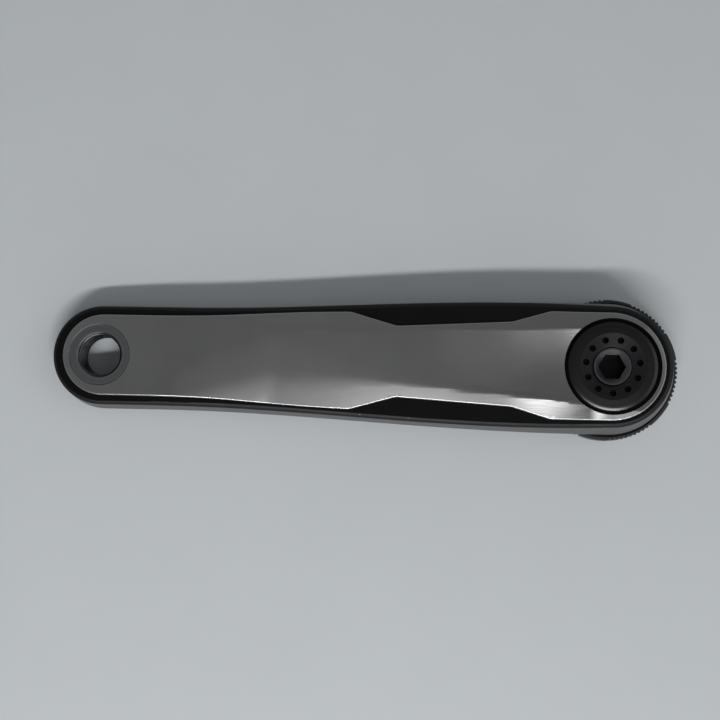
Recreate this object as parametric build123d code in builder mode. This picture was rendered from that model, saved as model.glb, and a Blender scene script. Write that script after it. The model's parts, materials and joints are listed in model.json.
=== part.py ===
"""Left bicycle crank arm with its fixing bolt, extractor cap and preload adjuster.

The spindle axis is Z and plus Z points away from the bicycle. The arm runs
towards minus X. The origin is on the spindle axis, at the inboard end of the boss.
"""

import os
from math import cos, radians, sin, tan

from build123d import *

os.makedirs("parts", exist_ok=True)

# Arm, overall, with heights above the inboard end of the boss
crank_length = 170.0
spindle_face = 21.2
pedal_face = 30.5
shoulder_height = 6.7
pedal_thickness = 12.5
bend_radius = 150.0
spindle_bend = 8.0
pedal_bend = 22.0

# Drafted flanks, as half widths at the inboard edge
spindle_half = 22.4
pedal_half = 17.4
spindle_parallel = 14.0
pedal_parallel = 30.0
pedal_end_shift = 0.5
spindle_draft = 12.0
pedal_draft = 7.5
ledge_flare = 3.8
ledge_round = 1.4
back_round = 2.5

# Raised polished face, with distances from the spindle axis for its two scallops
pad_height = 1.3
pad_chamfer = 0.4
pad_spindle_half = 18.1
pad_spindle_shift = 0.5
pad_pedal_half = 13.4
pad_pedal_shift = 1.2
pad_parallel = 14.0
pad_swell = 1.5
scallop_far = 87.2
scallop_far_half = 16.3
scallop_floor_far = 71.8
scallop_floor_far_half = 11.9
scallop_floor_near = 33.6
scallop_floor_near_half = 14.25
scallop_near = 20.7
scallop_round = 6.0

# Shallow facets that fall away from two crease lines, which bend a setback from the pedal axis
facet_setback = 58.0
upper_facet_slope = 6.0
upper_facet_far_half = 10.3
upper_facet_spindle_half = 12.9
lower_facet_slope = 4.2
lower_facet_far_half = 2.4
lower_facet_spindle_half = 13.4
facet_runout = 36.0
facet_climb = 1.9
facet_blend = 120.0

# Pedal thread and its spot face
pedal_thread_radius = 7.144
pedal_chamfer = 0.45
spot_face_radius = 10.0
spot_face_depth = 0.5
spot_face_chamfer = 0.25

# Spindle socket, from the inboard end of the boss
spindle_radius = 12.0
spindle_clearance = 0.03
pilot_length = 4.5
spline_count = 24
spline_relief = 0.25
spline_height = 0.85
spline_groove_width = 1.55
master_groove_width = 4.6
ledge_thickness = 2.0
socket_chamfer = 0.4

# Fixing bolt and its washers
bolt_thread_radius = 7.4
bolt_length = 9.2
bolt_clearance = 0.25
bolt_chamfer = 0.3
shank_chamfer = 0.8
flange_radius = 11.6
flange_thickness = 2.0
hub_radius = 6.0
hub_height = 3.2
hex_key = 8.0
hex_depth = 7.0
hub_lip = 0.3
dish_slope = 41.0
washer_radius = 12.0
bolt_washer_thickness = 0.8
cap_washer_thickness = 0.5
slip_gap = 0.1

# Extractor cap
cap_thread_radius = 14.85
cap_lip = 1.0
cap_gap = 0.3
cap_thread_clearance = 0.05
cap_head_thickness = 1.8
cap_skirt = 1.8
cap_chamfer = 1.1
cap_chamfer_height = 0.8
cap_edge_drop = 0.25
cap_ridge_inset = 4.65
cap_eye_chamfer = 0.85
cap_dish_drop = 0.5
cap_bore_clearance = 0.25
drive_hole_count = 11
drive_hole_radius = 1.1
drive_hole_circle = 8.95
drive_hole_depth = 2.2

# Preload adjuster on the threaded boss
boss_radius = 17.0
boss_chamfer = 0.5
ring_clearance = 0.05
ring_wall = 7.3
ring_outboard = 5.9
ring_inboard = -0.8
ring_chamfer = 0.4
ring_rim = 1.1
ring_groove_width = 2.6
ring_groove_depth = 1.6
clamp_land = 14.0
ring_sectors = 6
sector_teeth = 10
tooth_pitch = 3.84
tooth_depth = 0.75
tooth_groove = 1.3
first_sector = 50.8
split_width = 1.4

# Clamp screw across the split
screw_radius = 1.25
screw_head_radius = 2.25
screw_head_length = 2.5
screw_head_seat = 3.0
screw_grip = 8.0
screw_key = 2.0
screw_key_depth = 1.3
screw_clearance = 0.15

# Heights and places that follow from the sizes above
pedal_back = pedal_face - pedal_thickness
facet_far = crank_length - facet_setback
cap_seat = spindle_face - cap_head_thickness
cap_bottom = cap_seat - cap_skirt
flange_seat = cap_bottom - cap_washer_thickness - slip_gap - flange_thickness
hub_top = flange_seat + flange_thickness + hub_height
ledge_top = flange_seat - slip_gap - bolt_washer_thickness
socket_depth = ledge_top - ledge_thickness
spline_major_radius = spindle_radius - spline_relief
spline_minor_radius = spline_major_radius - spline_height
dish_radius = hub_radius - hub_lip
cap_radius = cap_thread_radius + cap_lip
cap_ridge_radius = cap_radius - cap_ridge_inset
cap_bore_radius = hub_radius + cap_bore_clearance
cap_eye_radius = cap_bore_radius + cap_eye_chamfer
ring_radius = boss_radius + ring_wall
ring_height = ring_outboard - ring_inboard
screw_circle = boss_radius + ring_wall / 2
split_angle = first_sector + 1.5 * 360 / ring_sectors
spindle_bend_x = -spindle_bend
pedal_bend_x = pedal_bend - crank_length
margin = 10.0
through = pedal_face + margin
size_tolerance = 0.01
rim_threshold = 0.9


def flank_half(half, draft, back_height, height):
    """Half width of a drafted flank at a height, from its width at its inboard edge."""
    return half + (back_height + back_round - height) * tan(radians(draft))


def side_line(spindle_height, pedal_height):
    """Side view of one surface of the arm, from the spindle end to the pedal end."""
    return FilletPolyline(
        (spindle_half + margin, spindle_height),
        (spindle_bend_x, spindle_height),
        (pedal_bend_x, pedal_height),
        (-crank_length - pedal_half - margin, pedal_height),
        radius=bend_radius,
    )


def face_height(x):
    """Height of the polished face on the straight slope of the arm."""
    slope = (pedal_face - spindle_face) / (pedal_bend_x - spindle_bend_x)
    return spindle_face + slope * (x - spindle_bend_x)


def faces_up(face):
    return face.normal_at().Z > rim_threshold


def faces_down(face):
    return face.normal_at().Z < -rim_threshold


def rim(faces):
    """Edges round a run of faces: those that only one of the faces has."""
    edges = faces.edges()
    return [edge for edge in edges if sum(edge.is_same(other) for other in edges) == 1]


# Raised polished face, with a scallop and a shallow facet along each side
with BuildPart() as face_pad:
    with BuildSketch(Plane.XZ):
        with BuildLine():
            top = side_line(spindle_face, pedal_face)
            root = side_line(spindle_face - 2 * pad_height, pedal_face - 2 * pad_height)
            Line(top @ 0, root @ 0)
            Line(top @ 1, root @ 1)
        make_face()
    extrude(amount=spindle_half, both=True)

    with BuildSketch() as pad_outline:
        with BuildLine():
            end = CenterArc((pad_pedal_shift - crank_length, 0), pad_pedal_half, 90, 90)
            edge = Line(end @ 0, (pad_parallel - crank_length, pad_pedal_half))
            reach = (crank_length - pad_parallel - scallop_far) / 2
            swell = Bezier(
                edge @ 1,
                edge @ 1 + Vector(reach, 0),
                Vector(-scallop_far, scallop_far_half) - Vector(reach, 0).rotate(Axis.Z, pad_swell),
                Vector(-scallop_far, scallop_far_half),
            )
            Polyline(
                swell @ 1,
                (-scallop_floor_far, scallop_floor_far_half),
                (-scallop_floor_near, scallop_floor_near_half),
                (-scallop_near, pad_spindle_half),
                (-pad_spindle_shift, pad_spindle_half),
            )
            CenterArc((-pad_spindle_shift, 0), pad_spindle_half, 0, 90)
            mirror(about=Plane.XZ)
        make_face()
        corners = pad_outline.vertices().filter_by_position(
            Axis.X, -scallop_far - size_tolerance, -scallop_near + size_tolerance
        )
        fillet(corners, scallop_round)
    extrude(amount=through, mode=Mode.INTERSECT)

    for side, slope, far_half, near_half in (
        (1, upper_facet_slope, upper_facet_far_half, upper_facet_spindle_half),
        (-1, lower_facet_slope, lower_facet_far_half, lower_facet_spindle_half),
    ):
        along = Vector(facet_far, side * (near_half - far_half)).normalized()
        outward = Vector(-along.Y, along.X) * side
        start = Vector(-facet_far, side * far_half) - outward * margin
        lift = margin * tan(radians(slope))
        climb = facet_runout * tan(radians(facet_climb))
        with BuildSketch(Plane(start, x_dir=along, z_dir=along.cross(Vector(0, 0, 1)))):
            with BuildLine():
                floor = FilletPolyline(
                    (-facet_runout, face_height(-facet_far - facet_runout) + climb + lift),
                    (0, face_height(-facet_far) + lift),
                    ((facet_far - spindle_bend) / along.X, spindle_face + lift),
                    ((facet_far + spindle_half) / along.X, spindle_face + lift),
                    radius=[facet_blend, bend_radius],
                )
                Polyline(
                    floor @ 1,
                    ((floor @ 1).X, through),
                    ((floor @ 0).X, through),
                    floor @ 0,
                )
            make_face()
        fall = outward * cos(radians(slope)) - Vector(0, 0, sin(radians(slope)))
        extrude(amount=2 * spindle_half, dir=fall, mode=Mode.SUBTRACT)

    chamfer(rim(face_pad.faces().filter_by(faces_up)), pad_chamfer)

# Forged arm: drafted flanks between two outlines, of which the outboard one flares, cut to the side view
with BuildPart() as crank_arm:
    for height, flare in ((shoulder_height, 0), (pedal_face, ledge_flare)):
        near = flank_half(spindle_half, spindle_draft, shoulder_height, height)
        far = flank_half(pedal_half, pedal_draft, pedal_back, height)
        pedal_side = pedal_parallel - crank_length
        pedal_end = pedal_end_shift - crank_length
        with BuildSketch(Plane.XY.offset(height)):
            with BuildLine():
                end = CenterArc((0, 0), near, 0, 90 - flare)
                edge = Line(end @ 1, end @ 1 + (end % 1) * spindle_parallel)
                reach = ((edge @ 1).X - pedal_side) / 3
                Bezier(
                    edge @ 1,
                    edge @ 1 + (end % 1) * reach,
                    (pedal_side + reach, far),
                    (pedal_side, far),
                )
                Line((pedal_side, far), (pedal_end, far))
                CenterArc((pedal_end, 0), far, 90, 90)
                mirror(about=Plane.XZ)
            make_face()
    loft(ruled=True)
    with BuildSketch(Plane.XZ):
        with BuildLine():
            top = side_line(spindle_face - pad_height, pedal_face - pad_height)
            back = side_line(shoulder_height, pedal_back)
            Line(top @ 0, back @ 0)
            Line(top @ 1, back @ 1)
        make_face()
    extrude(amount=2 * spindle_half, both=True, mode=Mode.INTERSECT)
    fillet(rim(crank_arm.faces().filter_by(faces_up)), ledge_round)
    fillet(rim(crank_arm.faces().filter_by(faces_down)), back_round)
    add(face_pad.part)

    # Boss that carries the adjuster
    with BuildSketch():
        Circle(boss_radius)
    extrude(amount=ledge_top)
    chamfer(crank_arm.faces().sort_by(Axis.Z)[0].outer_wire().edges(), boss_chamfer)

    # Stepped bore: cap recess, cap thread, bolt ledge, splined socket and plain pilot
    with BuildSketch(Plane.XY.offset(cap_seat)):
        Circle(cap_radius + cap_gap)
    extrude(amount=through, mode=Mode.SUBTRACT)
    with BuildSketch(Plane.XY.offset(ledge_top)):
        Circle(cap_thread_radius + cap_thread_clearance)
    extrude(amount=through, mode=Mode.SUBTRACT)
    with BuildSketch():
        Circle(bolt_thread_radius + bolt_clearance)
    extrude(amount=through, mode=Mode.SUBTRACT)
    with BuildSketch():
        with PolarLocations(spindle_radius, spline_count):
            Rectangle(2 * spindle_radius, spline_groove_width)
        with PolarLocations(spindle_radius, 1, start_angle=180 / spline_count):
            Rectangle(2 * spindle_radius, master_groove_width)
        Circle(spline_major_radius, mode=Mode.INTERSECT)
        Circle(spline_minor_radius)
    extrude(amount=socket_depth, mode=Mode.SUBTRACT)
    with BuildSketch():
        Circle(spindle_radius + spindle_clearance)
    extrude(amount=pilot_length, mode=Mode.SUBTRACT)
    chamfer(crank_arm.faces().sort_by(Axis.Z)[0].inner_wires().edges(), socket_chamfer)

    # Pedal hole in its spot face
    with BuildSketch(Plane.XY.offset(pedal_face - spot_face_depth)):
        with Locations((-crank_length, 0)):
            Circle(spot_face_radius)
    extrude(amount=through, mode=Mode.SUBTRACT)
    spot_face_edge = crank_arm.edges().filter_by(GeomType.CIRCLE).filter_by(
        lambda edge: abs(edge.radius - spot_face_radius) < size_tolerance
        and abs(edge.arc_center.Z - pedal_face) < size_tolerance
    )
    chamfer(spot_face_edge, spot_face_chamfer)
    with BuildSketch(Plane.XY.offset(pedal_back - margin)):
        with Locations((-crank_length, 0)):
            Circle(pedal_thread_radius)
    extrude(amount=through, mode=Mode.SUBTRACT)
    thread_mouths = crank_arm.edges().filter_by(GeomType.CIRCLE).filter_by(
        lambda edge: abs(edge.radius - pedal_thread_radius) < size_tolerance
        and abs(edge.arc_center.X + crank_length) < size_tolerance
    )
    chamfer(thread_mouths, pedal_chamfer)

crank_arm.part.label = "crank_arm"
export_step(crank_arm.part, "parts/crank_arm.step")

# Steel washer under the flange of the bolt
with BuildPart() as bolt_washer:
    with BuildSketch(Plane.XY.offset(ledge_top)):
        Circle(washer_radius)
        Circle(bolt_thread_radius + bolt_clearance, mode=Mode.SUBTRACT)
    extrude(amount=bolt_washer_thickness)

bolt_washer.part.label = "bolt_washer"
export_step(bolt_washer.part, "parts/bolt_washer.step")

# Fixing bolt: threaded shank, flange and a hub with a dished hex socket
with BuildPart() as crank_bolt:
    with BuildSketch(Plane.XY.offset(flange_seat)):
        Circle(flange_radius)
    extrude(amount=flange_thickness)
    chamfer(crank_bolt.edges(), bolt_chamfer)
    with BuildSketch(Plane.XY.offset(flange_seat)):
        Circle(bolt_thread_radius)
    extrude(amount=-bolt_length)
    chamfer(crank_bolt.edges().sort_by(Axis.Z)[0], shank_chamfer)
    with BuildSketch(Plane.XY.offset(flange_seat)):
        Circle(hub_radius)
    extrude(amount=flange_thickness + hub_height)
    with BuildSketch(Plane.XY.offset(hub_top)):
        RegularPolygon(hex_key / 2, 6, major_radius=False)
    extrude(amount=-hex_depth, mode=Mode.SUBTRACT)
    with BuildSketch(Plane.XZ):
        with BuildLine():
            Polyline(
                (0, hub_top - dish_radius * tan(radians(dish_slope))),
                (dish_radius, hub_top),
                (0, hub_top),
                close=True,
            )
        make_face()
    revolve(axis=Axis.Z, mode=Mode.SUBTRACT)

crank_bolt.part.label = "crank_bolt"
export_step(crank_bolt.part, "parts/crank_bolt.step")

# Slip washer between the flange and the cap
with BuildPart() as cap_washer:
    with BuildSketch(Plane.XY.offset(cap_bottom - cap_washer_thickness)):
        Circle(washer_radius)
        Circle(cap_bore_radius, mode=Mode.SUBTRACT)
    extrude(amount=cap_washer_thickness)

cap_washer.part.label = "cap_washer"
export_step(cap_washer.part, "parts/cap_washer.step")

# Extractor cap: threaded skirt and a head with a ridge, a dish and blind drive holes
with BuildPart() as extractor_cap:
    with BuildSketch(Plane.XZ):
        with BuildLine():
            Polyline(
                (cap_bore_radius, cap_bottom),
                (cap_thread_radius, cap_bottom),
                (cap_thread_radius, cap_seat),
                (cap_radius, cap_seat),
                (cap_radius, spindle_face - cap_edge_drop - cap_chamfer_height),
                (cap_radius - cap_chamfer, spindle_face - cap_edge_drop),
                (cap_ridge_radius, spindle_face),
                (cap_eye_radius, spindle_face - cap_dish_drop),
                (cap_bore_radius, spindle_face - cap_dish_drop - cap_eye_chamfer),
                close=True,
            )
        make_face()
    revolve(axis=Axis.Z)
    with BuildSketch(Plane.XY.offset(spindle_face - cap_dish_drop - drive_hole_depth)):
        with PolarLocations(drive_hole_circle, drive_hole_count, start_angle=-90):
            Circle(drive_hole_radius)
    extrude(amount=drive_hole_depth + margin, mode=Mode.SUBTRACT)

extractor_cap.part.label = "extractor_cap"
export_step(extractor_cap.part, "parts/extractor_cap.step")

# Preload adjuster: a split threaded ring with knurled and smooth sectors and a groove in its outboard face
screw_plane = Plane(
    Vector(screw_circle, 0, ring_inboard + ring_height / 2).rotate(Axis.Z, split_angle),
    x_dir=Vector(1, 0, 0).rotate(Axis.Z, split_angle),
    z_dir=Vector(0, 1, 0).rotate(Axis.Z, split_angle),
)
with BuildPart() as preload_adjuster:
    with BuildSketch(Plane.XY.offset(ring_inboard)):
        Circle(ring_radius)
        Circle(boss_radius + ring_clearance, mode=Mode.SUBTRACT)
    extrude(amount=ring_height)
    chamfer(preload_adjuster.edges(), ring_chamfer)
    with BuildSketch(Plane.XY.offset(ring_inboard)):
        for sector in range(ring_sectors):
            centre = first_sector + sector * 360 / ring_sectors
            for tooth in range(sector_teeth):
                angle = centre + (tooth - (sector_teeth - 1) / 2) * tooth_pitch
                with PolarLocations(ring_radius, 1, start_angle=angle):
                    Polygon(
                        (-tooth_depth, 0),
                        (tooth_depth, -tooth_groove),
                        (tooth_depth, tooth_groove),
                        align=None,
                    )
        with PolarLocations((boss_radius + ring_radius) / 2, 1, start_angle=split_angle):
            Rectangle(2 * (ring_radius - boss_radius), split_width)
    extrude(amount=ring_height, mode=Mode.SUBTRACT)
    with BuildSketch(Plane.XY.offset(ring_outboard)):
        Circle(ring_radius - ring_rim)
        Circle(ring_radius - ring_rim - ring_groove_width, mode=Mode.SUBTRACT)
        with PolarLocations(screw_circle, 1, start_angle=split_angle):
            Rectangle(2 * ring_wall, 2 * clamp_land, mode=Mode.SUBTRACT)
    extrude(amount=-ring_groove_depth, mode=Mode.SUBTRACT)
    with BuildSketch(screw_plane.offset(screw_head_seat)):
        Circle(screw_head_radius + screw_clearance)
    extrude(amount=ring_radius, mode=Mode.SUBTRACT)
    with BuildSketch(screw_plane.offset(screw_head_seat)):
        Circle(screw_radius + screw_clearance)
    extrude(amount=-screw_grip - screw_clearance, mode=Mode.SUBTRACT)

preload_adjuster.part.label = "preload_adjuster"
export_step(preload_adjuster.part, "parts/preload_adjuster.step")

# Socket-head screw that draws the split together
with BuildPart() as adjuster_screw:
    with BuildSketch(screw_plane.offset(screw_head_seat)):
        Circle(screw_head_radius)
    extrude(amount=screw_head_length)
    with BuildSketch(screw_plane.offset(screw_head_seat)):
        Circle(screw_radius)
    extrude(amount=-screw_grip)
    with BuildSketch(screw_plane.offset(screw_head_seat + screw_head_length)):
        RegularPolygon(screw_key / 2, 6, major_radius=False)
    extrude(amount=-screw_key_depth, mode=Mode.SUBTRACT)

adjuster_screw.part.label = "adjuster_screw"
export_step(adjuster_screw.part, "parts/adjuster_screw.step")
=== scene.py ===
"""Looks of a left bicycle crank arm: forged arm, fixing bolt, extractor cap and preload adjuster.

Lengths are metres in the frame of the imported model: the spindle axis is Z, plus Z points
away from the bicycle, and the arm runs towards minus X.
"""
import json
from math import copysign, cos, pi, radians, sin, tan

import bmesh
import bpy
from mathutils import Matrix, Vector


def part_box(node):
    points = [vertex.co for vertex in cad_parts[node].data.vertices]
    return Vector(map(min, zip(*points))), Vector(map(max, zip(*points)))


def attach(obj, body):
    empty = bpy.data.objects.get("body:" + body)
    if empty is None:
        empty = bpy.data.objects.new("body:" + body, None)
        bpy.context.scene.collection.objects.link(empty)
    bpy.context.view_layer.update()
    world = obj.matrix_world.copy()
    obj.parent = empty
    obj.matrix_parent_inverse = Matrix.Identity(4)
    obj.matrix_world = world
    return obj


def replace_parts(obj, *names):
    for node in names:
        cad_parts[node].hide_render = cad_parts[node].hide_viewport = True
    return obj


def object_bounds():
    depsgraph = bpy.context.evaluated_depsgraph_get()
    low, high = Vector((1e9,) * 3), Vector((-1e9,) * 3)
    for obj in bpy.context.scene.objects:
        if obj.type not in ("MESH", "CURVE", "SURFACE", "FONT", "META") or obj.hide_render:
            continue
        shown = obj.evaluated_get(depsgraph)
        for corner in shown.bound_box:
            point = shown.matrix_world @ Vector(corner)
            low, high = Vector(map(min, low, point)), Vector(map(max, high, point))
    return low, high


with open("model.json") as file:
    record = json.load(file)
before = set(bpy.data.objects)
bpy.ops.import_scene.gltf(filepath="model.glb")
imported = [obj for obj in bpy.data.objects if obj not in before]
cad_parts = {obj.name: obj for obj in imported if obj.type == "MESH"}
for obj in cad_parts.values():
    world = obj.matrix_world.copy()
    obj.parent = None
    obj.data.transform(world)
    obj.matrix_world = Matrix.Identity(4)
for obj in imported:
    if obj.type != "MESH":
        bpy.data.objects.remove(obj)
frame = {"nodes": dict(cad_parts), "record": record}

cad_low, cad_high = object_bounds()
mm = 0.001
mounts = {mount["name"]: mount for mount in frame["record"]["mounts"]}


# Crank arm
# A forged aluminium arm, blasted and anodised black, whose raised outer face is then machined,
# polished and anodised again in dark grey. The bores and the splined socket are cut last.
arm = frame["nodes"]["crank_arm"]
spindle_axis = Vector()
pedal_place = Vector(mounts["pedal_thread"]["pos_m"])
micron = 0.001 * mm
weld = 1 * micron
spindle_face = 21.2 * mm
pedal_face = 30.5 * mm
spindle_bend = -3 * mm
pedal_bend = -148 * mm
face_slope = (pedal_face - spindle_face) / (pedal_bend - spindle_bend)
bend_radius = 150 * mm
# Each facet falls from a crease that runs from its far end to the spindle, between two half
# widths. Polishing softens the crease by so much at either end.
facet_far = -112 * mm
facet_climb = tan(radians(1.9))
facet_blend = 120 * mm
facets = (
    {"side": 1, "fall": tan(radians(6.0)), "far_half": 10.3 * mm, "near_half": 12.9 * mm,
     "far_soft": 0.1 * mm, "near_soft": 0.06 * mm},
    {"side": -1, "fall": tan(radians(4.2)), "far_half": 2.4 * mm, "near_half": 13.4 * mm,
     "far_soft": 0.9 * mm, "near_soft": 0.05 * mm},
)
crease_fade = 8
pad_depth = 1.25 * mm
cap_recess_radius = 16.2 * mm
cap_seat = 19.3 * mm
spot_face_radius = 10.3 * mm
polish_cell = Vector((2.0, 1.5)) * mm
rim_depth = 0.45 * mm
# How far up a face looks, as the Z of its normal, tells the finishes apart.
ledge_top = 0.995
flat_top = 0.95
rim_low, rim_high = 0.5, 0.75
# Faces that look more sideways than this get the flank's lighter grey, a painted reflection.
ledge_side = 0.4
# Most of a noise lies between these, and the rings of a wave are this far apart at scale 1.
noise_low, noise_high = 0.3, 0.7
wave_spacing = pi / 10


def srgb(code):
    """A linear colour from an sRGB hex code."""
    channels = [int(code[i:i + 2], 16) / 255 for i in (1, 3, 5)]
    linear = [c / 12.92 if c <= 0.04045 else ((c + 0.055) / 1.055) ** 2.4 for c in channels]
    return (*linear, 1.0)


def add(tree, kind, inputs=None, **settings):
    """Adds a node with its settings. An input is a value, or an output socket to link to."""
    made = tree.nodes.new(kind)
    for name, value in settings.items():
        setattr(made, name, value)
    for name, value in (inputs or {}).items():
        if isinstance(value, bpy.types.NodeSocket):
            tree.links.new(value, made.inputs[name])
        else:
            made.inputs[name].default_value = value
    return made


def new_material(name):
    """An empty material, with its node tree and the place of a point on the piece."""
    material = bpy.data.materials.new(name)
    material.use_nodes = True
    material.node_tree.nodes.clear()
    place = add(material.node_tree, "ShaderNodeTexCoord").outputs["Object"]
    return material, material.node_tree, place


def finish_material(tree, inputs):
    """Closes a material with one shader."""
    shader = add(tree, "ShaderNodeBsdfPrincipled", inputs)
    add(tree, "ShaderNodeOutputMaterial", {"Surface": shader.outputs["BSDF"]})


def polished_anodised_aluminium(name, smooth, rough):
    """Aluminium polished lengthwise and anodised grey: a soft mirror with faint hairlines.

    Real hairlines are some hundredths of a millimetre wide. They are drawn ten times as wide
    to show.
    """
    hairline_length = 25 * mm
    hairline_width = 0.4 * mm
    ripple = 9 * mm
    material, tree, place = new_material(name)
    along = add(tree, "ShaderNodeMapping", {
        "Vector": place,
        "Scale": (1 / hairline_length, 1 / hairline_width, 1 / hairline_width),
    })
    hairlines = add(tree, "ShaderNodeTexNoise", {
        "Vector": along.outputs["Vector"], "Scale": 1.0, "Detail": 2.0,
    })
    waves = add(tree, "ShaderNodeTexNoise", {"Vector": place, "Scale": 1 / ripple, "Detail": 1.0})
    roughness = add(tree, "ShaderNodeMapRange", {
        "Value": hairlines.outputs["Fac"], "From Min": noise_low, "From Max": noise_high,
        "To Min": smooth, "To Max": rough,
    })
    colour = add(tree, "ShaderNodeMix", {
        "Factor": waves.outputs["Fac"], "A": srgb("#a6a6a6"), "B": srgb("#aeaeae"),
    }, data_type="RGBA")
    scratch = add(tree, "ShaderNodeBump", {
        "Height": hairlines.outputs["Fac"], "Strength": 0.3, "Distance": 1.5 * micron,
    })
    relief = add(tree, "ShaderNodeBump", {
        "Height": waves.outputs["Fac"], "Strength": 0.3, "Distance": 10 * micron,
        "Normal": scratch.outputs["Normal"],
    })
    finish_material(tree, {
        "Base Color": colour.outputs["Result"], "Metallic": 1.0,
        "Roughness": roughness.outputs["Result"], "Normal": relief.outputs["Normal"],
    })
    return material


def black_anodised_aluminium(name, low, high, smooth, rough, shine, relief_height, rounded=None):
    """Aluminium under a black anodised film: satin where blasted, glossier where machined.

    A blasted flank can turn duller where it rounds over, and its painted reflection fades to black
    there.
    """
    grain = 0.35 * mm
    cloud = 14 * mm
    material, tree, place = new_material(name)
    skin = add(tree, "ShaderNodeTexNoise", {"Vector": place, "Scale": 1 / grain, "Detail": 3.0})
    clouds = add(tree, "ShaderNodeTexNoise", {"Vector": place, "Scale": 1 / cloud, "Detail": 2.0})
    roughness = add(tree, "ShaderNodeMapRange", {
        "Value": clouds.outputs["Fac"], "From Min": noise_low, "From Max": noise_high,
        "To Min": smooth, "To Max": rough,
    }).outputs["Result"]
    colour = add(tree, "ShaderNodeMix", {
        "Factor": skin.outputs["Fac"], "A": srgb(low), "B": srgb(high),
    }, data_type="RGBA").outputs["Result"]
    if rounded:
        # A colour that changes with the way the face looks up is painted reflection and shade.
        facing = add(tree, "ShaderNodeSeparateXYZ", {"Vector": place.node.outputs["Normal"]})
        rounding = add(tree, "ShaderNodeMapRange", {
            "Value": facing.outputs["Z"], "From Min": rounded["start"], "From Max": rounded["end"],
        }, interpolation_type="SMOOTHSTEP").outputs["Result"]
        roughness = add(tree, "ShaderNodeMix", {
            "Factor": rounding, "A": roughness, "B": rounded["rough"],
        }).outputs["Result"]
        colour = add(tree, "ShaderNodeMix", {
            "Factor": rounding, "A": colour, "B": srgb(rounded["colour"]),
        }, data_type="RGBA").outputs["Result"]
    relief = add(tree, "ShaderNodeBump", {
        "Height": skin.outputs["Fac"], "Strength": 0.25, "Distance": relief_height,
    })
    finish_material(tree, {
        "Base Color": colour, "Roughness": roughness, "Specular IOR Level": shine,
        "Normal": relief.outputs["Normal"],
    })
    return material


def turned_aluminium(name, axis_place, low, high):
    """Aluminium cut on a lathe or with an end mill: satin metal with rings round the tool's axis.

    Real rings lie about a tenth as far apart, and are drawn wider to show.
    """
    ring_spacing = 2.2 * mm
    material, tree, place = new_material(name)
    centred = add(tree, "ShaderNodeMapping", {"Vector": place, "Location": -axis_place})
    rings = add(tree, "ShaderNodeTexWave", {
        "Vector": centred.outputs["Vector"], "Scale": wave_spacing / ring_spacing,
        "Distortion": 0.4,
    }, wave_type="RINGS", rings_direction="Z")
    colour = add(tree, "ShaderNodeMix", {
        "Factor": rings.outputs["Fac"], "A": srgb(low), "B": srgb(high),
    }, data_type="RGBA")
    relief = add(tree, "ShaderNodeBump", {
        "Height": rings.outputs["Fac"], "Strength": 0.3, "Distance": 4 * micron,
    })
    finish_material(tree, {
        "Base Color": colour.outputs["Result"], "Metallic": 1.0, "Roughness": 0.24,
        "Normal": relief.outputs["Normal"],
    })
    return material


def bent_line(x, corner, slope_below, slope_above, radius):
    """Height of a line that bends at a corner, with its bend rounded to a radius."""
    gap = x - corner
    bend = slope_above - slope_below
    arc = max(radius * abs(bend) / 2 - abs(gap), 0) ** 2 / (2 * radius)
    return gap * (slope_above if gap > 0 else slope_below) + copysign(arc, bend)


def face_height(x):
    """Height of the polished face along the arm: level at both ends, sloped between two bends."""
    at_spindle = bent_line(x, spindle_bend, face_slope, 0, bend_radius)
    at_pedal = bent_line(x, pedal_bend, 0, face_slope, bend_radius)
    return spindle_face + at_spindle + at_pedal - (x - pedal_bend) * face_slope


def facet_height(facet, x, y):
    """Height of a facet that falls from its crease line towards one long edge."""
    crease = Vector((-facet_far, facet["near_half"] - facet["far_half"])).normalized()
    offset = Vector((x - facet_far, facet["side"] * y - facet["far_half"]))
    run = offset.dot(crease)
    level_run = (spindle_bend - facet_far) / crease.x
    slope = face_slope * crease.x
    start = spindle_face + face_slope * (facet_far - spindle_bend)
    climb = bent_line(run, 0, face_slope - facet_climb, slope, facet_blend)
    level = bent_line(run, level_run, slope, 0, bend_radius)
    fall = facet["fall"] * (offset.y * crease.x - offset.x * crease.y)
    return start + climb + level - slope * (run - level_run) - fall


def top_height(x, y):
    """Height of the polished face with its facets, whose creases are crispest at the spindle."""
    height = face_height(x)
    share = min(max(x / facet_far, 0), 1)
    fade = share ** crease_fade * (crease_fade + 1 - crease_fade * share)
    for facet in facets:
        softness = facet["near_soft"] + fade * (facet["far_soft"] - facet["near_soft"])
        falling = facet_height(facet, x, y)
        near = max(1 - abs(height - falling) / softness, 0)
        height = min(height, falling) - softness / 4 * near ** 2
    return height


def top_normal(point):
    """The way the polished face looks at a point."""
    step = 0.05 * mm
    across_x = top_height(point.x + step, point.y) - top_height(point.x - step, point.y)
    across_y = top_height(point.x, point.y + step) - top_height(point.x, point.y - step)
    return Vector((-across_x, -across_y, 2 * step)).normalized()


def arm_finish(face):
    """The finish of a face of the arm, from its place and how far up it looks."""
    middle = face.calc_center_median()
    if (middle - pedal_place).xy.length < spot_face_radius:
        # Chamfers and the wall of the pedal hole take a darker grey, as painted shade.
        return "spot_face" if face.normal.z > flat_top else "pedal_hole"
    if middle.xy.length < cap_recess_radius:
        return "ledge" if middle.z > cap_seat else "spindle_bore"
    depth = top_height(middle.x, middle.y) - middle.z
    if depth < rim_depth and rim_low < face.normal.z < rim_high:
        return "rim"
    if middle.z > face_height(middle.x) - pad_depth and face.normal.z > rim_low:
        return "polished" if face.normal.z > flat_top else "rim"
    if face.normal.z > ledge_top:
        return "ledge"
    # Faces that look more sideways get the flank's lighter grey, a painted reflection of the lit
    # table.
    return "ledge_edge" if face.normal.z > ledge_side else "flank"


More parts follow.
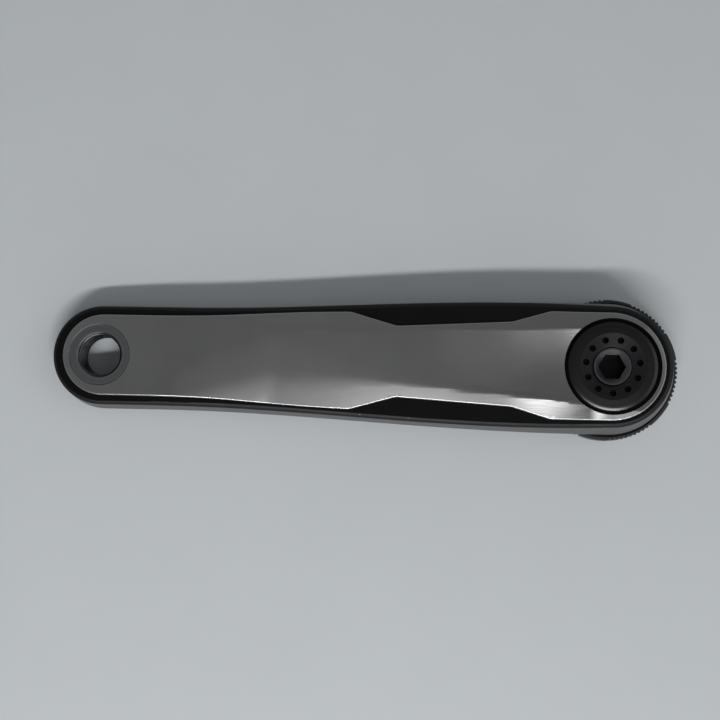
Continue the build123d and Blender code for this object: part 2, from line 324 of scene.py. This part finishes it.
def joined_copy(node, name):
    """A copy of a CAD node with its triangles joined, whose corners keep their shading normals."""
    mesh = node.data.copy()
    mesh.name = name
    mesh.materials.clear()
    kept = mesh.attributes.new("shading", "FLOAT_VECTOR", "CORNER")
    numbers = [number for corner in mesh.corner_normals for number in corner.vector]
    kept.data.foreach_set("vector", numbers)
    shape = bmesh.new()
    shape.from_mesh(mesh)
    bmesh.ops.remove_doubles(shape, verts=shape.verts, dist=weld)
    shape.normal_update()
    return mesh, shape


def shade(mesh, normals):
    """Gives a mesh these corner normals."""
    mesh.attributes.remove(mesh.attributes["shading"])
    mesh.polygons.foreach_set("use_smooth", [True] * len(mesh.polygons))
    mesh.normals_split_custom_set(normals)


def add_piece(mesh, body):
    """A piece of the object that rides on a body."""
    piece = bpy.data.objects.new(mesh.name, mesh)
    bpy.context.scene.collection.objects.link(piece)
    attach(piece, body)
    return piece


arm_materials = {
    # The flank's grey is lighter than the black film: painted reflection of the lit table on its
    # sides, fading back to black where it looks up.
    "flank": black_anodised_aluminium(
        "blasted_black_aluminium_painted_reflection", low="#2c2c2e", high="#363638", smooth=0.42, rough=0.48,
        shine=1.0, relief_height=5 * micron,
        rounded={"start": 0.2, "end": 0.42, "rough": 0.8, "colour": "#040405"},
    ),
    "polished": polished_anodised_aluminium(
        "polished_anodised_aluminium", smooth=0.07, rough=0.10,
    ),
    "spot_face": turned_aluminium(
        "turned_spot_face", pedal_place, low="#828384", high="#8a8b8c",
    ),
    "spindle_bore": turned_aluminium(
        "turned_spindle_bore", spindle_axis, low="#a5a6a8", high="#b9babc",
    ),
    "ledge": black_anodised_aluminium(
        "machined_black_aluminium", low="#040405", high="#060607", smooth=0.20, rough=0.25,
        shine=0.2, relief_height=2 * micron,
    ),
    "rim": polished_anodised_aluminium("buffed_edge_aluminium", smooth=0.26, rough=0.32),
    # The hole's wall and chamfers are coloured darker than the spot face, as painted shade.
    "pedal_hole": turned_aluminium(
        "pedal_hole_painted_shade", pedal_place, low="#58595a", high="#636465",
    ),
    "ledge_edge": black_anodised_aluminium(
        "rounded_black_aluminium", low="#060607", high="#08080a", smooth=0.50, rough=0.55,
        shine=0.25, relief_height=2 * micron,
    ),
}
arm_slots = {finish: slot for slot, finish in enumerate(arm_materials)}
forging_mesh, forging = joined_copy(arm, "arm_forging")
for face in forging.faces:
    face.material_index = arm_slots[arm_finish(face)]

# The polished face is cut into small cells, and each corner is set to the height of the face.
polished = [face for face in forging.faces if face.material_index == arm_slots["polished"]]
arm_low, arm_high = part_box("crank_arm")
for axis in (0, 1):
    toward = Vector((1 - axis, axis, 0))
    for cut in range(1, int((arm_high[axis] - arm_low[axis]) / polish_cell[axis])):
        edges = {edge for face in polished for edge in face.edges}
        corners = {corner for face in polished for corner in face.verts}
        done = bmesh.ops.bisect_plane(
            forging, geom=[*corners, *edges, *polished], dist=weld,
            plane_co=arm_low + toward * cut * polish_cell[axis], plane_no=toward,
        )
        polished = [item for item in done["geom"] if isinstance(item, bmesh.types.BMFace)]
top_corners = {corner for face in polished for corner in face.verts}
for corner in top_corners:
    corner.co.z = top_height(corner.co.x, corner.co.y)
forging.verts.index_update()
top_normals = {corner.index: top_normal(corner.co) for corner in top_corners}
forging.to_mesh(forging_mesh)
forging.free()

# The rim is shaded as a rounded edge, from the polished face at its top to level at its foot.
forging_normals = [Vector(kept.vector) for kept in forging_mesh.attributes["shading"].data]
for polygon in forging_mesh.polygons:
    if polygon.material_index in (arm_slots["polished"], arm_slots["rim"]):
        outward = Vector((*polygon.normal.xy, 0)).normalized()
        for loop in polygon.loop_indices:
            corner = forging_mesh.loops[loop].vertex_index
            forging_normals[loop] = top_normals.get(corner, outward)
shade(forging_mesh, forging_normals)
for material in arm_materials.values():
    forging_mesh.materials.append(material)
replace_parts(add_piece(forging_mesh, "arm"), "crank_arm")


# Pedal thread
# The 9/16 inch left-hand thread, cut into the wall of the pedal hole: one helical ridge
# of twenty turns to the inch that stands inwards from the wall.
inch = 25.4 * mm
thread_pitch = inch / 20
thread_root = 7.2 * mm
thread_crest = 6.6 * mm
# The thread is coloured darker than the spot face, as painted shade inside the hole.
thread_metal = turned_aluminium(
    "pedal_thread_painted_shade", pedal_place, low="#505152", high="#5e5f60",
)


def thread_tree():
    """Geometry nodes for one ridge that winds round Z, from its root to a narrow crest."""
    steps_a_turn = 48
    root_share, crest_share = 0.9, 0.16
    tree = bpy.data.node_groups.new("helical_thread", "GeometryNodeTree")
    tree.interface.new_socket("Geometry", in_out="OUTPUT", socket_type="NodeSocketGeometry")
    for size in ("Root Radius", "Crest Radius", "Pitch", "Turns", "Start Height"):
        tree.interface.new_socket(size, in_out="INPUT", socket_type="NodeSocketFloat")
    tree.interface.new_socket("Left Hand", in_out="INPUT", socket_type="NodeSocketBool")
    tree.interface.new_socket("Metal", in_out="INPUT", socket_type="NodeSocketMaterial")
    given = add(tree, "NodeGroupInput").outputs
    root, crest, pitch = given["Root Radius"], given["Crest Radius"], given["Pitch"]
    climb = add(tree, "ShaderNodeMath", {0: pitch, 1: given["Turns"]}, operation="MULTIPLY")
    both = add(tree, "ShaderNodeMath", {0: root, 1: crest}, operation="ADD")
    middle = add(tree, "ShaderNodeMath", {0: both.outputs[0], 1: 0.5}, operation="MULTIPLY")
    helix = add(tree, "GeometryNodeCurveSpiral", {
        "Resolution": steps_a_turn, "Rotations": given["Turns"], "Height": climb.outputs[0],
        "Start Radius": middle.outputs[0], "End Radius": middle.outputs[0],
        "Reverse": given["Left Hand"],
    })
    upright = add(tree, "GeometryNodeSetCurveNormal", {
        "Curve": helix.outputs["Curve"],
    }, mode="Z_UP")
    root_width = add(tree, "ShaderNodeMath", {0: pitch, 1: root_share}, operation="MULTIPLY")
    crest_width = add(tree, "ShaderNodeMath", {0: pitch, 1: crest_share}, operation="MULTIPLY")
    height = add(tree, "ShaderNodeMath", {0: root, 1: crest}, operation="SUBTRACT")
    section = add(tree, "GeometryNodeCurvePrimitiveQuadrilateral", {
        "Height": height.outputs[0], "Bottom Width": root_width.outputs[0],
        "Top Width": crest_width.outputs[0], "Offset": 0.0,
    }, mode="TRAPEZOID")
    standing = add(tree, "GeometryNodeTransform", {
        "Geometry": section.outputs["Curve"], "Rotation": (0, 0, pi / 2),
    })
    ridge = add(tree, "GeometryNodeCurveToMesh", {
        "Curve": upright.outputs["Curve"], "Profile Curve": standing.outputs["Geometry"],
        "Fill Caps": True,
    })
    lift = add(tree, "ShaderNodeCombineXYZ", {"Z": given["Start Height"]})
    placed = add(tree, "GeometryNodeTransform", {
        "Geometry": ridge.outputs["Mesh"], "Translation": lift.outputs["Vector"],
    })
    whole = add(tree, "GeometryNodeRealizeInstances", {"Geometry": placed.outputs["Geometry"]})
    coated = add(tree, "GeometryNodeSetMaterial", {
        "Geometry": whole.outputs["Geometry"], "Material": given["Metal"],
    })
    add(tree, "NodeGroupOutput", {"Geometry": coated.outputs["Geometry"]})
    return tree


helical_thread = thread_tree()


def wind_thread(name, values, axis_place):
    """Runs the thread's nodes with these inputs and gives a plain closed mesh round an axis."""
    host = bpy.data.objects.new(name + "_host", bpy.data.meshes.new(name + "_host"))
    bpy.context.scene.collection.objects.link(host)
    modifier = host.modifiers.new("thread", "NODES")
    modifier.node_group = helical_thread
    for item in helical_thread.interface.items_tree:
        if item.in_out == "INPUT":
            modifier[item.identifier] = values[item.name]
    evaluated = host.evaluated_get(bpy.context.evaluated_depsgraph_get())
    mesh = bpy.data.meshes.new_from_object(evaluated)
    bpy.data.objects.remove(host)
    mesh.name = name
    ridge = bmesh.new()
    ridge.from_mesh(mesh)
    bmesh.ops.remove_doubles(ridge, verts=ridge.verts, dist=weld)
    bmesh.ops.recalc_face_normals(ridge, faces=ridge.faces)
    ridge.to_mesh(mesh)
    ridge.free()
    mesh.transform(Matrix.Translation(axis_place))
    return mesh


pedal_length = mounts["pedal_thread"]["dims"]["length_mm"] * mm
pedal_thread = wind_thread("pedal_thread", {
    "Root Radius": thread_root, "Crest Radius": thread_crest, "Pitch": thread_pitch,
    "Turns": pedal_length / thread_pitch - 1,
    "Start Height": thread_pitch / 2 - pedal_length / 2,
    "Left Hand": True, "Metal": thread_metal,
}, pedal_place)
add_piece(pedal_thread, "arm")


# Bolt washer
# A flat steel ring, punched, tumbled and zinc-plated, that lies loose between the bolt's
# flange and the arm.
def plated_steel():
    """Zinc-plated steel: pale grey metal with a fine cloudy plating."""
    spangle = 1.2 * mm
    material, tree, place = new_material("zinc_plated_steel")
    cloud = add(tree, "ShaderNodeTexNoise", {"Vector": place, "Scale": 1 / spangle, "Detail": 4.0})
    colour = add(tree, "ShaderNodeMix", {
        "Factor": cloud.outputs["Fac"], "A": srgb("#9a9ca0"), "B": srgb("#c2c4c6"),
    }, data_type="RGBA")
    finish_material(tree, {
        "Base Color": colour.outputs["Result"], "Metallic": 1.0, "Roughness": 0.35,
    })
    return material


bolt_washer = frame["nodes"]["bolt_washer"]
bolt_washer.data.materials.clear()
bolt_washer.data.materials.append(plated_steel())


# Fixing bolt
# A turned steel bolt, blackened, that stays captive under the cap. Its hub has a dished rim
# round an 8 mm hex socket, and its shank carries a fine thread into the spindle.
def blackened_steel(name, axis_place, low, high):
    """Steel with a black oxide skin: dark, oily satin with turning marks.

    Real marks lie about a tenth as far apart, and are drawn wider to show.
    """
    ring_spacing = 1.885 * mm
    mottle = 2.5 * mm
    material, tree, place = new_material(name)
    centred = add(tree, "ShaderNodeMapping", {"Vector": place, "Location": -axis_place})
    rings = add(tree, "ShaderNodeTexWave", {
        "Vector": centred.outputs["Vector"], "Scale": wave_spacing / ring_spacing,
        "Distortion": 0.5,
    }, wave_type="RINGS", rings_direction="Z")
    patches = add(tree, "ShaderNodeTexNoise", {
        "Vector": place, "Scale": 1 / mottle, "Detail": 3.0,
    })
    colour = add(tree, "ShaderNodeMix", {
        "Factor": patches.outputs["Fac"], "A": srgb(low), "B": srgb(high),
    }, data_type="RGBA")
    relief = add(tree, "ShaderNodeBump", {
        "Height": rings.outputs["Fac"], "Strength": 0.25, "Distance": 3 * micron,
    })
    finish_material(tree, {
        "Base Color": colour.outputs["Result"], "Metallic": 1.0, "Roughness": 0.33,
        "Normal": relief.outputs["Normal"],
    })
    return material


crank_bolt = frame["nodes"]["crank_bolt"]
bolt_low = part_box("crank_bolt")[0]
shank_radius = 7.4 * mm
shank_top = 15.0 * mm
shank_root = 6.85 * mm
bolt_pitch = 1.0 * mm
plain_end = 0.8 * mm
hub_radius = 6.0 * mm
hub_flare = 6.18 * mm
hub_base = 18.0 * mm
hex_reach = 4.7 * mm
hex_floor = 14.0 * mm
wall_lean = 0.3
tolerance = 0.02 * mm
bolt_steel = blackened_steel("blackened_bolt_steel", spindle_axis, low="#4c4c4e", high="#5e5e60")
# Inside the hex socket the steel is coloured near black, as painted shade.
socket_steel = blackened_steel("hex_socket_painted_shade", spindle_axis, low="#161617", high="#1e1e1f")
bolt_mesh, bolt_shape = joined_copy(crank_bolt, "fixing_bolt")
for corner in bolt_shape.verts:
    radius = corner.co.xy.length
    if abs(radius - shank_radius) < tolerance and corner.co.z < shank_top + tolerance:
        corner.co.xy *= shank_root / shank_radius
    if abs(radius - hub_radius) < tolerance and corner.co.z > hub_base:
        corner.co.xy *= hub_flare / hub_radius
# Walls and floor of the hex socket take the near-black painted shade.
for face in bolt_shape.faces:
    middle = face.calc_center_median()
    is_wall = abs(face.normal.z) < wall_lean
    is_floor = middle.z < hex_floor and face.normal.z > -wall_lean
    face.material_index = int((is_wall or is_floor) and middle.xy.length < hex_reach)
bolt_shape.to_mesh(bolt_mesh)
bolt_shape.free()
kept_normals = bolt_mesh.attributes["shading"].data
shade(bolt_mesh, [Vector(kept.vector).normalized() for kept in kept_normals])
bolt_mesh.materials.append(bolt_steel)
bolt_mesh.materials.append(socket_steel)
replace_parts(add_piece(bolt_mesh, "bolt"), "crank_bolt")

thread_start = bolt_low.z + plain_end
bolt_thread = wind_thread("bolt_thread", {
    "Root Radius": shank_root - tolerance, "Crest Radius": shank_radius, "Pitch": bolt_pitch,
    "Turns": (shank_top - thread_start) / bolt_pitch - 1,
    "Start Height": thread_start + bolt_pitch / 2,
    "Left Hand": False, "Metal": bolt_steel,
}, spindle_axis)
add_piece(bolt_thread, "bolt")


# Slip washer
# A thin ring cut from dark nylon sheet, which lets the bolt's flange turn against the cap when
# the arm is drawn off.
def plain_nylon():
    """Dark nylon sheet: dull, with a faint cloudy skin."""
    haze = 3 * mm
    material, tree, place = new_material("dark_nylon_sheet")
    cloud = add(tree, "ShaderNodeTexNoise", {"Vector": place, "Scale": 1 / haze, "Detail": 3.0})
    colour = add(tree, "ShaderNodeMix", {
        "Factor": cloud.outputs["Fac"], "A": srgb("#2b2b2d"), "B": srgb("#383839"),
    }, data_type="RGBA")
    finish_material(tree, {"Base Color": colour.outputs["Result"], "Roughness": 0.6})
    return material


cap_washer = frame["nodes"]["cap_washer"]
cap_washer.data.materials.clear()
cap_washer.data.materials.append(plain_nylon())


# Extractor cap
# A turned aluminium ring, anodised satin black, screwed into the arm over the bolt's flange.
# Eleven blind holes round its eye take a peg spanner.
def black_turned_cap(name, shine):
    """Turned aluminium under black anodising: satin black, with turning rings and a rolled edge.

    Real rings lie about a tenth as far apart, and are drawn wider to show.
    """
    ring_spacing = 1.885 * mm
    roll_start, roll_end, roll_drop = 13.5 * mm, 15.6 * mm, 0.36 * mm
    material, tree, place = new_material(name)
    rings = add(tree, "ShaderNodeTexWave", {
        "Vector": place, "Scale": wave_spacing / ring_spacing, "Distortion": 0.3,
    }, wave_type="RINGS", rings_direction="Z")
    colour = add(tree, "ShaderNodeMix", {
        "Factor": rings.outputs["Fac"], "A": srgb("#09090b"), "B": srgb("#0d0d0f"),
    }, data_type="RGBA")
    flat = add(tree, "ShaderNodeVectorMath", {0: place, 1: (1, 1, 0)}, operation="MULTIPLY")
    radius = add(tree, "ShaderNodeVectorMath", {0: flat.outputs["Vector"]}, operation="LENGTH")
    roll = add(tree, "ShaderNodeMapRange", {
        "Value": radius.outputs["Value"], "From Min": roll_start, "From Max": roll_end,
        "To Min": 1.0, "To Max": 0.0,
    }, interpolation_type="SMOOTHSTEP")
    rolled = add(tree, "ShaderNodeBump", {
        "Height": roll.outputs["Result"], "Strength": 1.0, "Distance": roll_drop,
    })
    relief = add(tree, "ShaderNodeBump", {
        "Height": rings.outputs["Fac"], "Strength": 0.25, "Distance": 3 * micron,
        "Normal": rolled.outputs["Normal"],
    })
    finish_material(tree, {
        "Base Color": colour.outputs["Result"], "Roughness": 0.26, "Specular IOR Level": shine,
        "Normal": relief.outputs["Normal"],
    })
    return material


extractor_cap = frame["nodes"]["extractor_cap"]
hole_inner, hole_outer = 7.7 * mm, 10.2 * mm
hole_floor, hole_mouth = 18.4 * mm, 20.65 * mm
extractor_cap.data.materials.clear()
extractor_cap.data.materials.append(black_turned_cap("black_anodised_cap", shine=0.35))
# Inside the blind holes the black film reflects less, as painted shade.
extractor_cap.data.materials.append(black_turned_cap("cap_hole_painted_shade", shine=0.1))
for polygon in extractor_cap.data.polygons:
    in_holes = hole_inner < polygon.center.xy.length < hole_outer
    under_mouth = hole_floor < polygon.center.z < hole_mouth
    polygon.material_index = int(in_holes and under_mouth)


# Preload adjuster
# A split ring moulded in black glass-filled nylon, screwed on the arm's boss and turned by
# its knurled sectors to take the play out of the bearings.
def moulded_nylon():
    """Glass-filled nylon: matt black with a sandy moulded skin."""
    grain = 0.3 * mm
    material, tree, place = new_material("glass_filled_nylon")
    skin = add(tree, "ShaderNodeTexNoise", {"Vector": place, "Scale": 1 / grain, "Detail": 3.0})
    colour = add(tree, "ShaderNodeMix", {
        "Factor": skin.outputs["Fac"], "A": srgb("#141416"), "B": srgb("#1f1f21"),
    }, data_type="RGBA")
    relief = add(tree, "ShaderNodeBump", {
        "Height": skin.outputs["Fac"], "Strength": 0.4, "Distance": 12 * micron,
    })
    finish_material(tree, {
        "Base Color": colour.outputs["Result"], "Roughness": 0.42, "Specular IOR Level": 0.4,
        "Normal": relief.outputs["Normal"],
    })
    return material


adjuster = frame["nodes"]["preload_adjuster"]
adjuster.data.materials.clear()
adjuster.data.materials.append(moulded_nylon())


# Clamp screw
# A turned steel socket-head screw with a black oxide skin. It goes across the ring's split and
# locks the adjuster on its thread.
screw = frame["nodes"]["adjuster_screw"]
screw_low, screw_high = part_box("adjuster_screw")
screw_middle = (screw_low + screw_high) / 2
screw.data.materials.clear()
screw.data.materials.append(
    blackened_steel("black_oxide_screw", screw_middle, low="#333438", high="#48494d")
)


# Table
# A pale grey table top. The arm lies on its back on it, so it is tilted in the arm's frame to
# touch the ring's inboard edge and the back of the pedal end.
table_reach = 6.0
ring_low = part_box("preload_adjuster")[0]
table_slope = min(
    (vertex.co.z - ring_low.z) / (ring_low.x - vertex.co.x)
    for vertex in arm.data.vertices
    if vertex.co.x < ring_low.x
)


def matt_table():
    """Laminated board: matt pale grey with a faint mottle."""
    mottle = 30 * mm
    material, tree, place = new_material("pale_table_board")
    cloud = add(tree, "ShaderNodeTexNoise", {"Vector": place, "Scale": 1 / mottle, "Detail": 3.0})
    colour = add(tree, "ShaderNodeMix", {
        "Factor": cloud.outputs["Fac"], "A": srgb("#a8acaf"), "B": srgb("#acb0b3"),
    }, data_type="RGBA")
    finish_material(tree, {"Base Color": colour.outputs["Result"], "Roughness": 0.6})
    return material


table_corners = [
    (ring_low.x + x, y, ring_low.z - table_slope * x)
    for x, y in ((-table_reach, -table_reach), (table_reach, -table_reach),
                 (table_reach, table_reach), (-table_reach, table_reach))
]
table_mesh = bpy.data.meshes.new("table")
table_mesh.from_pydata(table_corners, [], [(0, 1, 2, 3)])
table_mesh.materials.append(matt_table())
table = bpy.data.objects.new("table", table_mesh)
bpy.context.scene.collection.objects.link(table)


# Light and camera
# A room that is dim overhead and paler towards its walls, most of all in front, with soft boxes
# that the polished face mirrors, and one long key lamp. The camera looks almost straight down.
part_middle = (cad_low + cad_high) / 2
key_width = 0.75
key_height = 0.07
key_distance = 1.2
key_elevation = radians(55.5)
key_aside = 0.05
key_watts = 11.3
key_way = Vector((key_aside, -cos(key_elevation), sin(key_elevation)))
key_place = part_middle + key_distance * key_way
key_light = bpy.data.lights.new("key_lamp", "AREA")
key_light.shape = "RECTANGLE"
key_light.size = key_width
key_light.size_y = key_height
key_light.energy = key_watts
key_lamp = bpy.data.objects.new("key_lamp", key_light)
key_turn = (part_middle - key_place).to_track_quat("-Z", "Y").to_matrix().to_4x4()
key_lamp.matrix_world = Matrix.Translation(key_place) @ key_turn
bpy.context.scene.collection.objects.link(key_lamp)

zenith = (0.143, 0.145, 0.147, 1)
front_wall = (1.4, 1.43, 1.46, 1)
other_walls = (0.50, 0.51, 0.52, 1)
front_way = Vector((0.4, -0.92, 0))
front_edge, front_core = 0.62, 0.84
# In degrees: how far a box stands to the right of and behind the zenith, and the radii of its
# full light and of its soft edge.
soft_boxes = (
    {"right": 50, "back": 0, "core": 6, "edge": 29, "strength": 1.05},
    {"right": 2.7, "back": -9.4, "core": 0.9, "edge": 9.0, "strength": 0.38},
    {"right": 7.5, "back": -12.5, "core": 0.9, "edge": 8.6, "strength": 1.50},
    {"right": 12.4, "back": -5.5, "core": 0.2, "edge": 1.7, "strength": 3.4},
    {"right": 10.7, "back": 6.4, "core": 0.3, "edge": 3.3, "strength": 0.09},
    {"right": 3.6, "back": -0.7, "core": 0.9, "edge": 9.1, "strength": 0.06},
    {"right": 13.4, "back": 7.2, "core": 0.2, "edge": 2.2, "strength": 0.32},
    {"right": 15.2, "back": 6.8, "core": 0.1, "edge": 1.0, "strength": 1.5},
    {"right": -6.0, "back": 11.3, "core": 2.4, "edge": 24.0, "strength": 0.05},
)
world = bpy.data.worlds.new("room")
world.use_nodes = True
room = world.node_tree
room.nodes.clear()
direction = add(room, "ShaderNodeTexCoord").outputs["Generated"]
split = add(room, "ShaderNodeSeparateXYZ", {"Vector": direction})
ahead = add(room, "ShaderNodeVectorMath", {0: direction, 1: front_way}, operation="DOT_PRODUCT")
front = add(room, "ShaderNodeMapRange", {
    "Value": ahead.outputs["Value"], "From Min": front_edge, "From Max": front_core,
}, interpolation_type="SMOOTHSTEP")
walls = add(room, "ShaderNodeMix", {
    "Factor": front.outputs["Result"], "A": other_walls, "B": front_wall,
}, data_type="RGBA")
room_light = add(room, "ShaderNodeMix", {
    "Factor": split.outputs["Z"], "A": walls.outputs["Result"], "B": zenith,
}, data_type="RGBA").outputs["Result"]
for box in soft_boxes:
    aim = Vector((tan(radians(box["right"])), tan(radians(box["back"])), 1)).normalized()
    facing = add(room, "ShaderNodeVectorMath", {0: direction, 1: aim}, operation="DOT_PRODUCT")
    glow = add(room, "ShaderNodeMapRange", {
        "Value": facing.outputs["Value"], "From Min": cos(radians(box["edge"])),
        "From Max": cos(radians(box["core"])), "To Max": box["strength"],
    }, interpolation_type="SMOOTHSTEP")
    room_light = add(room, "ShaderNodeVectorMath", {
        0: room_light, 1: glow.outputs["Result"],
    }, operation="ADD").outputs["Vector"]
background = add(room, "ShaderNodeBackground", {"Color": room_light})
add(room, "ShaderNodeOutputWorld", {"Surface": background.outputs["Background"]})
bpy.context.scene.world = world

camera_place = Vector((-0.06455, -0.03374, 0.42191))
camera_aim = Vector((-0.08385, 0.00019, 0.025))
camera_roll = Matrix.Rotation(radians(1.29), 3, "Z")
back = (camera_place - camera_aim).normalized()
right = Vector((0, 1, 0)).cross(back).normalized()
camera_turn = Matrix((right, back.cross(right), back)).transposed() @ camera_roll
camera_data = bpy.data.cameras.new("camera")
camera_data.lens = 60.15
camera = bpy.data.objects.new("camera", camera_data)
camera.matrix_world = Matrix.Translation(camera_place) @ camera_turn.to_4x4()
bpy.context.scene.collection.objects.link(camera)
bpy.context.scene.camera = camera
bpy.context.scene.view_settings.view_transform = "Standard"
